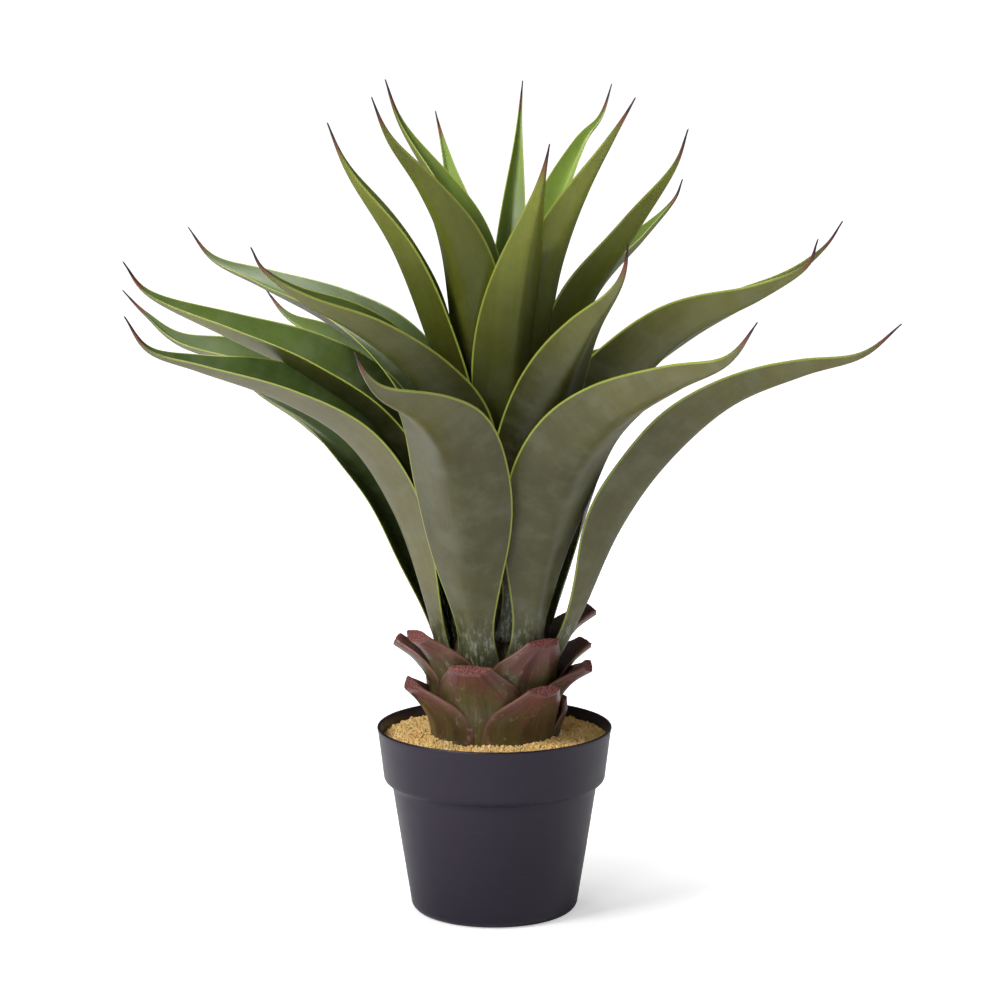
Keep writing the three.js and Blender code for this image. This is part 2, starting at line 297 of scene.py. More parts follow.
@dataclass(frozen=True)
class LeafFinish:
    """Waxy leaf skin: olive underside, greener inside, yellow margins, dark spine, frosted foot
    whose pale flecks are partly painted highlights.

    Pairs of colours are for an old and a young leaf; the young colours are lighter and yellower,
    partly painted light shining through the young blade. Pairs of millimetres say where an effect
    starts and is full, from the root, the tip or the margin.
    """

    # The young colour of each pair is yellower and partly painted light shining through the young blade.
    under: tuple[Rgba, Rgba] = (colour(98, 94, 52), colour(124, 130, 38))
    inside: tuple[Rgba, Rgba] = (colour(78, 98, 44), colour(116, 138, 54))
    bloom: Rgba = colour(128, 134, 112)
    margin: Rgba = colour(154, 162, 64)
    rust: Rgba = colour(122, 58, 48)
    spine: Rgba = colour(52, 24, 30)
    # Colour of the painted shade at each leaf's root, where it meets the stem.
    painted_root_shade: Rgba = colour(52, 60, 34)
    # Pale colour of the frosting at the foot, partly painted highlights.
    foot: Rgba = colour(168, 172, 156)
    # Painted shade deep in the rosette: where it starts and is full on inner leaves, from the root.
    painted_shade_from_root: Pair = (345.0, 165.0)
    # Where the painted shade at the root starts and is full, from the root.
    painted_root_shade_from_root: Pair = (55.0, 10.0)
    # Where the frosting and painted highlights at the foot start and are full, from the root.
    frost_and_highlight_from_root: Pair = (70.0, 20.0)
    margin_from_edge: Pair = (0.95, 0.25)
    margin_from_root: Pair = (8.0, 60.0)
    margin_from_tip: Pair = (22.0, 60.0)
    rust_from_tip: Pair = (34.0, 17.0)
    spine_from_tip: Pair = (20.0, 8.0)
    ridges_from_tip: Pair = (60.0, 220.0)

    def build(self, shared: SharedGroups) -> Material:
        """Makes the leaf material from the blade attributes and the blade map.

        Args:
            shared: the shared node groups.

        Returns:
            The material.
        """
        g = Skin("leaf_skin")
        blade = g.blade_map()
        upper, youth, tone = g.attribute("upper"), g.attribute("youth"), g.attribute("tone")
        edge, tip, root = g.attribute("edge_mm"), g.attribute("tip_mm"), g.attribute("root_mm")
        # Young leaves take the young colours, partly painted light through the blade.
        base = g.mix(upper, g.mix(youth, *self.under), g.mix(youth, *self.inside))
        mottled = g.group(shared.mottle, Colour=base, Amount=0.22, Seed=g.times(tone, 3.0))
        fibres = g.group(shared.fibres, Map=blade)
        lines, bands = fibres["Lines"], fibres["Bands"]
        streaks = g.times(g.span(lines, 0.86, 1.14), g.span(bands, 0.84, 1.16))
        skin = g.gain(mottled["Colour"], g.times(streaks, g.span(tone, 0.88, 1.12)))
        # Painted shade: inner leaves darken towards the root, deep in the rosette where shade falls.
        painted_shade = g.times(g.times(youth, 5.0, clamp=True), g.fade(root, *self.painted_shade_from_root))
        skin = g.gain(skin, g.minus(1.0, g.times(painted_shade, 0.78)))
        wax = g.noise(g.scaled(blade, 3.0, 5.0, 1.0), 1.0, 4.0, 0.6)
        waxed = g.times(g.fade(wax, 0.42, 0.68), g.minus(0.22, g.times(youth, 0.16)))
        skin = g.mix(waxed, skin, self.bloom)
        # Painted shade at the root, where each leaf meets the stem and the cut bases.
        skin = g.mix(g.times(g.fade(root, *self.painted_root_shade_from_root), 0.55), skin, self.painted_root_shade)
        # Pale frosting flecks towards the root, partly painted highlights on the glossy foot.
        flecks = g.fade(g.noise(g.scaled(blade, 26.0, 9.0, 1.0), 1.0, 4.0, 0.7), 0.46, 0.68)
        frost_and_highlight = g.times(g.fade(root, *self.frost_and_highlight_from_root), flecks, clamp=True)
        skin = g.mix(g.times(frost_and_highlight, 0.7), skin, self.foot)
        rim = g.times(g.fade(edge, *self.margin_from_edge), g.fade(root, *self.margin_from_root))
        skin = g.mix(g.times(rim, g.fade(tip, *self.margin_from_tip)), skin, self.margin)
        skin = g.mix(g.times(g.fade(tip, *self.rust_from_tip), 0.85), skin, self.rust)
        skin = g.mix(g.fade(tip, *self.spine_from_tip), skin, self.spine)
        rough = g.plus(g.span(wax, 0.27, 0.43), g.times(lines, 0.10))
        height = g.plus(g.times(lines, 0.7), g.times(bands, 1.4))
        ridges = g.times(g.fade(tip, *self.ridges_from_tip), 0.35)
        return g.finish(skin, rough, g.bump(height, ridges, 0.0006))


@dataclass(frozen=True)
class StubFinish:
    """Cut leaf base: olive foot, maroon towards the cut, pale lip, pale frosting flecks that are partly
    painted highlights, granular reddish cut face.
    """

    foot: Rgba = colour(92, 84, 50)
    body: Rgba = colour(112, 66, 60)
    deep: Rgba = colour(58, 34, 32)
    cut: Rgba = colour(168, 104, 96)
    cut_dark: Rgba = colour(98, 50, 46)
    lip: Rgba = colour(122, 84, 68)
    # Pale frosting colour, partly painted highlights.
    frost_and_highlight: Rgba = colour(176, 164, 156)

    def build(self, shared: SharedGroups) -> Material:
        """Makes the cut base material from the blade attributes and the blade map.

        Args:
            shared: the shared node groups.

        Returns:
            The material.
        """
        g = Skin("cut_base")
        cut, edge = g.attribute("cut"), g.attribute("edge_mm")
        fibres = g.group(shared.fibres, Map=g.blade_map())
        lines, bands = fibres["Lines"], fibres["Bands"]
        patch = g.noise(g.place(), 55.0, 4.0, 0.6)
        drift = g.times(g.minus(patch, 0.5), 0.9)
        upper = g.fade(g.plus(g.attribute("along"), drift), 0.5, 0.95)
        flank = g.times(g.fade(g.plus(edge, g.times(drift, 22.0)), 10.0, 1.0), 0.6)
        base = g.mix(g.math("MAXIMUM", upper, flank), self.foot, self.body)
        base = g.mix(g.times(g.fade(bands, 0.5, 0.68), 0.55), base, self.deep)
        seed = g.times(g.attribute("tone"), 5.0)
        body = g.group(shared.mottle, Colour=base, Amount=0.4, Seed=seed)["Colour"]
        # Pale frosting along the threads and in fine flecks, partly painted highlights on the glossy skin.
        body = g.mix(g.times(g.fade(lines, 0.58, 0.76), 0.22), body, self.frost_and_highlight)
        frost_and_highlight_noise = g.noise(g.place(), 120.0, 5.0, 0.7)
        body = g.mix(g.times(g.fade(frost_and_highlight_noise, 0.56, 0.72), 0.4), body, self.frost_and_highlight)
        body = g.mix(g.times(g.fade(edge, 1.6, 0.5), 0.7), body, self.lip)
        grain = g.group(shared.grain, Scale=650.0)
        face = g.mix(grain["Speckle"], self.cut_dark, self.cut)
        rough = g.plus(g.span(patch, 0.22, 0.42), g.times(cut, 0.45))
        ridged = g.bump(g.times(lines, g.minus(1.0, cut)), 0.5, 0.0008)
        normal = g.bump(g.times(grain["Height"], cut), 0.9, 0.0012, ridged)
        return g.finish(g.mix(cut, body, face), rough, normal)


@dataclass(frozen=True)
class StemFinish:
    """Fibrous stem: dark olive-brown with pale upright threads."""

    bark: Rgba = colour(78, 66, 44)
    thread: Rgba = colour(138, 132, 104)
    shade: Rgba = colour(36, 34, 22)

    def build(self, shared: SharedGroups) -> Material:
        """Makes the stem material on Object coordinates.

        Args:
            shared: the shared node groups.

        Returns:
            The material.
        """
        g = Skin("stem_fibre")
        strands = g.noise(g.scaled(g.place(), 1.0, 1.0, 0.12), 260.0, 4.0, 0.65)
        base = g.mix(g.fade(strands, 0.34, 0.56), self.shade, self.bark)
        base = g.mix(g.times(g.fade(strands, 0.56, 0.74), 0.7), base, self.thread)
        mottled = g.group(shared.mottle, Colour=base, Amount=0.4, Seed=0.0)
        rough = g.span(strands, 0.6, 0.85)
        return g.finish(mottled["Colour"], rough, g.bump(strands, 0.8, 0.0015))


@dataclass(frozen=True)
class GritFinish:
    """Ochre grit: every crumb has its own tone, from dark earth through tan and orange to cream."""

    tones: tuple[tuple[float, Rgba], ...] = (
        (0.0, colour(128, 98, 52)),
        (0.14, colour(204, 166, 94)),
        (0.42, colour(244, 212, 132)),
        (0.68, colour(250, 222, 156)),
        (0.86, colour(242, 186, 116)),
        (1.0, colour(253, 242, 206)),
    )
    dust: Rgba = colour(226, 196, 140)

    def build(self, shared: SharedGroups) -> Material:
        """Makes the grit material from each crumb's tone.

        Args:
            shared: the shared node groups.

        Returns:
            The material.
        """
        g = Skin("grit")
        ramp = g.node("ValToRGB", {0: g.attribute("tone")})
        stops = ramp.color_ramp.elements
        stops[0].position, stops[0].color = self.tones[0]
        stops[1].position, stops[1].color = self.tones[-1]
        for place, shade in self.tones[1:-1]:
            stops.new(place).color = shade
        grain = g.group(shared.grain, Scale=1500.0)
        speckle = grain["Speckle"]
        mottled = g.group(shared.mottle, Colour=ramp.outputs[0], Amount=0.3, Seed=1.0)
        dusted = g.mix(g.times(speckle, 0.25), mottled["Colour"], self.dust)
        normal = g.bump(grain["Height"], 0.6, 0.0006)
        return g.finish(dusted, g.span(speckle, 0.8, 0.95), normal, specular=0.3)


@dataclass(frozen=True)
class SoilFinish:
    """Dark bark-based mix."""

    earth: Rgba = colour(48, 36, 26)
    chip: Rgba = colour(92, 70, 50)

    def build(self, shared: SharedGroups) -> Material:
        """Makes the soil material on Object coordinates.

        Args:
            shared: the shared node groups.

        Returns:
            The material.
        """
        g = Skin("potting_mix")
        grain = g.group(shared.grain, Scale=300.0)
        base = g.mix(grain["Speckle"], self.earth, self.chip)
        mottled = g.group(shared.mottle, Colour=base, Amount=0.5, Seed=2.0)
        rough = g.span(grain["Speckle"], 0.85, 0.98)
        return g.finish(mottled["Colour"], rough, g.bump(grain["Height"], 0.8, 0.002))


@dataclass(frozen=True)
class PotFinish:
    """Satin black moulded plastic with a faint plum cast, light scuffs and dust on the shoulder."""

    plastic: Rgba = colour(33, 23, 43)
    scuff: Rgba = colour(86, 80, 92)
    dust: Rgba = colour(150, 134, 112)

    def build(self, shared: SharedGroups) -> Material:
        """Makes the pot material on Object coordinates; dust gathers where the wall faces up.

        Args:
            shared: the shared node groups.

        Returns:
            The material.
        """
        g = Skin("pot_plastic")
        place = g.place()
        mottled = g.group(shared.mottle, Colour=self.plastic, Amount=0.16, Seed=4.0)
        rub = g.noise(g.scaled(place, 1.0, 1.0, 9.0), 24.0, 5.0, 0.7)
        base = g.mix(g.times(g.fade(rub, 0.6, 0.8), 0.16), mottled["Colour"], self.scuff)
        facing = g.node("SeparateXYZ", {0: g.node("NewGeometry").outputs["Normal"]})
        flecks = g.fade(g.noise(place, 700.0, 3.0, 0.7), 0.5, 0.66)
        settled = g.times(g.fade(facing.outputs[2], 0.25, 0.9), g.times(flecks, 0.25))
        rough = g.plus(g.span(rub, 0.34, 0.46), g.times(settled, 0.6))
        waves = g.noise(g.scaled(place, 1.0, 1.0, 2.5), 9.0, 1.0, 0.4)
        pores = g.bump(g.noise(place, 1400.0, 2.0, 0.5), 0.12, 0.0003)
        normal = g.bump(waves, 0.25, 0.0025, pores)
        return g.finish(g.mix(settled, base, self.dust), rough, normal, specular=0.45)


@dataclass(frozen=True)
class FloorFinish:
    """Matt near-white floor that brightens away from the pot, up to the white surroundings."""

    paint: Rgba = (0.92, 0.92, 0.92, 1.0)
    pale: Rgba = (0.95, 0.95, 0.95, 1.0)
    bright_from: Pair = (0.35, 2.2)
    glow_near: float = 0.5
    glow_added: float = 0.6

    def build(self) -> Material:
        """Returns the floor material with a trace of unevenness."""
        g = Skin("pale_floor")
        g.principled.inputs["Emission Color"].default_value = (1.0, 1.0, 1.0, 1.0)
        away = g.node("VectorMath", {0: g.place()}, operation="LENGTH").outputs["Value"]
        glow = g.plus(self.glow_near, g.times(g.fade(away, *self.bright_from), self.glow_added))
        seen = g.node("LightPath").outputs["Is Camera Ray"]
        g.plug(g.principled.inputs["Emission Strength"], g.times(glow, seen))
        patch = g.noise(g.place(), 1.5, 2.0, 0.55)
        return g.finish(g.mix(patch, self.paint, self.pale), 0.9, specular=0.1)


# ---------------------------------------------------------------- meshes


def mesh_object(name: str, vertices: Array, faces: Array, smooth: bool = True) -> Object:
    """Puts arrays into a mesh and links its object at the origin.

    Args:
        name: the piece's name.
        vertices: N x 3 in metres.
        faces: M x 3 or M x 4 vertex numbers, facing outwards.
        smooth: whether faces are shaded smooth.

    Returns:
        The new object.
    """
    mesh = bpy.data.meshes.new(name)
    mesh.vertices.add(len(vertices))
    mesh.vertices.foreach_set("co", np.ascontiguousarray(vertices, dtype=np.float32).ravel())
    mesh.loops.add(faces.size)
    mesh.loops.foreach_set("vertex_index", faces.astype(np.int32).ravel())
    mesh.polygons.add(len(faces))
    mesh.polygons.foreach_set("loop_start", np.arange(0, faces.size, faces.shape[1], dtype=np.int32))
    mesh.polygons.foreach_set("use_smooth", np.full(len(faces), smooth))
    mesh.update(calc_edges=True)
    mesh.validate()
    made = bpy.data.objects.new(name, mesh)
    bpy.context.scene.collection.objects.link(made)
    return made


def set_attributes(target: Object, **values: Array | float) -> None:
    """Stores named numbers on the vertices.

    Args:
        target: the piece.
        values: one number per vertex, or one for them all.
    """
    for name, value in values.items():
        full = np.broadcast_to(value, len(target.data.vertices))
        layer = target.data.attributes.new(name, "FLOAT", "POINT")
        layer.data.foreach_set("value", np.ascontiguousarray(full, dtype=np.float32))


def set_blade_map(target: Object, u: Array, v: Array) -> None:
    """Stores the map that the fibres run along.

    Args:
        target: the piece.
        u: place across, one per vertex.
        v: place along, one per vertex.
    """
    layer = target.data.uv_layers.new(name="blade")
    corners = np.empty(len(target.data.loops), dtype=np.int32)
    target.data.loops.foreach_get("vertex_index", corners)
    layer.data.foreach_set("uv", np.stack([u, v], 1)[corners].astype(np.float32).ravel())


def tube_faces(rings: int, around: int) -> Array:
    """Returns the quads of a closed tube: ring i joins ring i + 1, and the last column joins the first."""
    i, j = np.meshgrid(np.arange(rings - 1), np.arange(around), indexing="ij")
    a = i * around + j
    b = i * around + (j + 1) % around
    return np.stack([a, b, b + around, a + around], -1).reshape(-1, 4)


def halved(quads: Array) -> Array:
    """Returns quads split into triangles."""
    return np.vstack([quads[:, [0, 1, 2]], quads[:, [0, 2, 3]]])


def tube_mesh(
    name: str, rings: Array, first: Array, last: Array | None = None
) -> Object:
    """Skins rings of points into a closed tube, with a fan of triangles to one point at each end.

    Args:
        name: the piece's name.
        rings: rings x columns x 3, in millimetres.
        first: the point that closes the first ring.
        last: the point that closes the last ring, or None where that ring is already shut.

    Returns:
        The tube, in metres.
    """
    count, around = rings.shape[:2]
    j, after = np.arange(around), (np.arange(around) + 1) % around
    tail = (count - 1) * around
    vertices = [rings.reshape(-1, 3), first[None]]
    faces = [halved(tube_faces(count, around)), np.stack([np.full(around, tail + around), after, j], -1)]
    if last is not None:
        vertices.append(last[None])
        faces.append(np.stack([np.full(around, tail + around + 1), tail + j, tail + after], -1))
    return mesh_object(name, np.vstack(vertices) * MM, np.vstack(faces))


def per_ring(values: Array, around: int, *ends: float) -> Array:
    """Returns one value per ring spread over its columns, then the values of the end points."""
    return np.concatenate([np.repeat(values, around), ends])


def per_column(values: Array, rings: int, *ends: float) -> Array:
    """Returns one value per column spread over the rings, then the values of the end points."""
    return np.concatenate([np.tile(values, rings), ends])


def steps_along(line: Array) -> Array:
    """Returns the distance along a polyline at each of its points."""
    return np.concatenate([[0.0], np.cumsum(np.linalg.norm(np.diff(line, axis=0), axis=1))])


def arc_samples(knots: Array, shares: Array) -> Array:
    """Samples a uniform Catmull-Rom curve at even arc length.

    Between knots b and c, with neighbours a and d, the point at t is half of
    2b + (c - a)t + (2a - 5b + 4c - d)t^2 + (3b - a - 3c + d)t^3; the end neighbours are mirrored knots.

    Args:
        knots: the points that the curve passes through.
        shares: where to sample it, from 0 to 1 of its length.

    Returns:
        One point per share.
    """
    ends = np.vstack([2 * knots[0] - knots[1], knots, 2 * knots[-1] - knots[-2]])
    spans = len(knots) - 1
    t = np.linspace(0.0, spans, 200 * spans + 1)
    i = np.minimum(t.astype(int), spans - 1)
    w = (t - i)[:, None]
    a, b, c, d = ends[i], ends[i + 1], ends[i + 2], ends[i + 3]
    fine = 0.5 * (2 * b + (c - a) * w + (2 * a - 5 * b + 4 * c - d) * w**2 + (3 * b - a - 3 * c + d) * w**3)
    length = steps_along(fine)
    return np.stack([np.interp(shares * length[-1], length, fine[:, k]) for k in range(3)], 1)


def merge_close(target: Object, distance: float = 1e-6) -> None:
    """Merges vertices that lie on one another, so that seams close."""
    work = bmesh.new()
    work.from_mesh(target.data)
    bmesh.ops.remove_doubles(work, verts=work.verts, dist=distance)
    work.to_mesh(target.data)
    work.free()


def turned(name: str, profile: Points, segments: int = 160) -> Object:
    """Makes a closed turned body: the profile's radius and height are carried round the Z axis.

    Args:
        name: the piece's name.
        profile: pairs of radius and height in millimetres, from the axis and back to it.
        segments: columns round the axis.

    Returns:
        The body.
    """
    line = np.array(profile, dtype=float)
    turn = np.linspace(0, 2 * np.pi, segments, endpoint=False)
    ring = np.stack([np.cos(turn), np.sin(turn)], -1)
    inner = line[1:-1, None]
    heights = np.broadcast_to(inner[..., 1:], (len(inner), segments, 1))
    rings = np.concatenate([inner[..., :1] * ring[None], heights], -1)
    poles = np.column_stack([np.zeros((2, 2)), line[[0, -1], 1]])
    return tube_mesh(name, rings, *poles)


def dress(piece: Object, finish: Material, node: str) -> Object:
    """Gives a piece its finish and its place in the frame.

    Args:
        piece: the piece.
        finish: its material.
        node: the solid that it stands for.

    Returns:
        The piece.
    """
    piece.data.materials.append(finish)
    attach(piece, "root")
    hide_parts(node)
    return piece


@dataclass(frozen=True)
class Rail:
    """The path of a blade, with its across and lift directions at each station."""

    centre: Array
    across: Array
    lift: Array

    @staticmethod
    def along(azimuth: float, midrib: Points, turn: float, shares: Array) -> "Rail":
        """Lays the midrib in the upright plane at an azimuth and turns its frame evenly along it.

        Args:
            azimuth: direction of the blade in degrees, -90 being the front.
            midrib: pairs of reach from the axis and height.
            turn: degrees that the blade turns about its midrib from root to tip.
            shares: stations from 0 at the root to 1 at the tip.

        Returns:
            The rail, in millimetres.
        """
        angle = math.radians(azimuth)
        outward = np.array([math.cos(angle), math.sin(angle), 0.0])
        sideways = np.array([-math.sin(angle), math.cos(angle), 0.0])
        flat = np.array(midrib, dtype=float)
        knots = flat[:, :1] * outward + flat[:, 1:] * np.array([0.0, 0.0, 1.0])
        centre = arc_samples(knots, shares)
        ahead = np.gradient(centre, axis=0)
        ahead /= np.linalg.norm(ahead, axis=1, keepdims=True)
        normal = np.cross(ahead, sideways)
        normal /= np.linalg.norm(normal, axis=1, keepdims=True)
        roll = np.radians(turn * shares)[:, None]
        across = sideways * np.cos(roll) + normal * np.sin(roll)
        lift = normal * np.cos(roll) - sideways * np.sin(roll)
        return Rail(centre, across, lift)

    def section(self, x: Array, y: Array) -> Array:
        """Returns the points that lie x to the side of the path and y up from it, station by station."""
        return self.centre[:, None] + self.across[:, None] * x[..., None] + self.lift[:, None] * y[..., None]


# ---------------------------------------------------------------- leaves and cut bases


class Tier(Enum):
    """Age of a leaf: where it is widest, its width at the root as a share, and how young it is."""

    LOW = (0.40, 0.22, 0.0)
    MID = (0.44, 0.20, 0.35)
    UP = (0.50, 0.16, 1.0)


@dataclass(frozen=True)
class LeafShape:
    """One leaf: azimuth, full width, turn of the blade, and the midrib as reach and height."""

    name: str
    azimuth: float
    width: float
    turn: float
    midrib: Points

    @property
    def tier(self) -> Tier:
        """The tier that the name gives."""
        return Tier[self.name.split("_")[1].upper()]


LEAF_TABLE = (
    ("low_right_far", -14, 80, -25,
     (46, 200), (71, 249), (101, 316), (139, 371), (190, 418), (247, 444), (294, 460), (323, 486)),
    ("low_right_front", -55, 92, -25,
     (44, 200), (60, 265), (80, 322), (115, 377), (168, 418), (235, 450), (293, 474), (326, 507)),
    ("low_front", -107, 92, 0,
     (44, 198), (62, 250), (80, 290), (102, 345), (135, 392), (195, 425), (276, 452), (310, 472), (331, 492)),
    ("low_left", -168, 96, -25,
     (42, 200), (57, 262), (81, 330), (118, 387), (172, 422), (235, 446), (275, 462), (293, 490)),
    ("low_left_back", 150, 88, -25,
     (44, 200), (68, 252), (98, 310), (137, 355), (180, 385), (230, 410), (265, 440)),
    ("low_back", 97, 88, 0,
     (44, 202), (68, 255), (98, 315), (140, 362), (195, 390), (250, 406), (285, 428)),
    ("low_back_right", 62, 88, 0,
     (44, 200), (65, 255), (92, 320), (130, 378), (180, 420), (225, 436), (255, 455)),
    ("low_right_back", 30, 76, 0,
     (42, 205), (62, 262), (88, 330), (116, 390), (145, 438), (165, 465)),
    ("mid_left", -178, 92, -25,
     (32, 226), (42, 290), (62, 350), (98, 402), (150, 438), (210, 468), (272, 500), (293, 528)),
    ("mid_left_back", 167, 82, -25,
     (34, 222), (56, 290), (88, 356), (138, 404), (200, 435), (262, 454), (292, 478), (311, 498)),
    ("mid_left_far", 153, 84, -25,
     (28, 238), (40, 310), (62, 385), (100, 440), (150, 472), (213, 498), (262, 518), (286, 545)),
    ("mid_left_behind", 135, 80, -20,
     (32, 228), (45, 295), (72, 360), (106, 392), (155, 420), (210, 449), (250, 465), (278, 488)),
    ("mid_front_left", -140, 92, -25,
     (32, 226), (36, 310), (52, 395), (86, 442), (134, 478), (190, 508), (224, 532), (236, 551)),
    ("mid_front_right", -62, 78, -8,
     (34, 226), (50, 300), (76, 365), (105, 426), (150, 480), (190, 515), (205, 535), (210, 557)),
    ("mid_right", -25, 98, -25,
     (32, 230), (48, 310), (70, 366), (105, 417), (160, 472), (224, 507), (261, 532), (270, 554)),
    ("mid_right_back", 12, 84, -20,
     (28, 232), (38, 300), (62, 370), (104, 420), (165, 465), (236, 503), (272, 532), (288, 555)),
    ("mid_back_left", 116, 78, 0,
     (22, 246), (28, 305), (46, 360), (90, 405), (150, 430), (205, 445)),
    ("mid_back", 78, 82, 0,
     (34, 226), (56, 300), (88, 370), (130, 425), (175, 462), (215, 490)),
    ("mid_back_right", 42, 78, 0,
     (26, 242), (32, 300), (46, 370), (68, 422), (96, 458), (120, 480)),
    ("up_left", -165, 72, -20,
     (18, 262), (20, 335), (32, 400), (55, 470), (82, 538), (118, 598), (134, 638)),
    ("up_front_left", -125, 66, 0,
     (18, 266), (26, 345), (34, 430), (45, 500), (64, 545), (98, 588), (139, 628), (159, 661)),
    ("up_left_back", 150, 62, 0,
     (10, 288), (10, 370), (15, 460), (30, 540), (58, 588), (88, 634), (101, 669)),
    ("up_right", -12, 64, -20,
     (18, 266), (30, 350), (50, 425), (78, 495), (116, 556), (144, 602), (154, 633)),
    ("up_right_front", -38, 68, -10,
     (18, 268), (30, 350), (43, 430), (57, 503), (71, 545), (91, 586), (114, 624), (136, 659)),
    ("up_right_back", 35, 60, 0,
     (18, 264), (38, 350), (66, 430), (100, 495), (148, 538), (180, 568), (189, 586)),
    ("up_front", -68, 72, 0,
     (24, 262), (34, 330), (42, 400), (52, 470), (70, 530), (97, 590), (112, 625)),
    ("up_back_left", 108, 46, 0,
     (16, 276), (32, 380), (58, 470), (86, 545), (125, 595), (160, 640)),
    ("up_back", 79, 36, 40,
     (12, 288), (24, 380), (40, 470), (62, 550), (90, 610), (120, 666)),
    ("up_back_right", 54, 56, 0,
     (15, 280), (34, 370), (56, 460), (82, 550), (122, 612), (150, 636), (165, 663)),
    ("up_back_low", 88, 54, 0,
     (24, 256), (42, 350), (72, 430), (122, 490), (190, 520), (240, 548)),
)
LEAVES = tuple(
    LeafShape("leaf_" + name, azimuth, width, turn, tuple(midrib))
    for name, azimuth, width, turn, *midrib in LEAF_TABLE
)


@dataclass(frozen=True)
class StubShape:
    """One cut leaf base: azimuth, foot and top heights, reach of the cut, and full width."""

    name: str
    azimuth: float
    foot: float
    top: float
    reach: float
    width: float


STUB_TABLE = (
    ("low_left", -165, 116, 189, 70, 96),
    ("low_front_right", -53, 116, 192, 67, 78),
    ("low_right", 15, 116, 172, 55, 70),
    ("low_back", 78, 116, 188, 64, 70),
    ("low_back_left", 138, 116, 188, 64, 70),
    ("middle_front", -107, 136, 211, 66, 82),
    ("middle_right", -12, 136, 204, 77, 66),
    ("middle_right_back", 22, 140, 214, 80, 60),
    ("middle_back", 106, 136, 210, 66, 70),
    ("middle_left", 176, 144, 222, 79, 60),
    ("high_front_left", -146, 156, 234, 75, 70),
    ("high_front_right", -52, 156, 230, 64, 78),
    ("high_right_back", 16, 164, 243, 82, 60),
    ("high_back", 100, 160, 230, 64, 66),
)
STUBS = tuple(StubShape("stub_" + name, *sizes) for name, *sizes in STUB_TABLE)


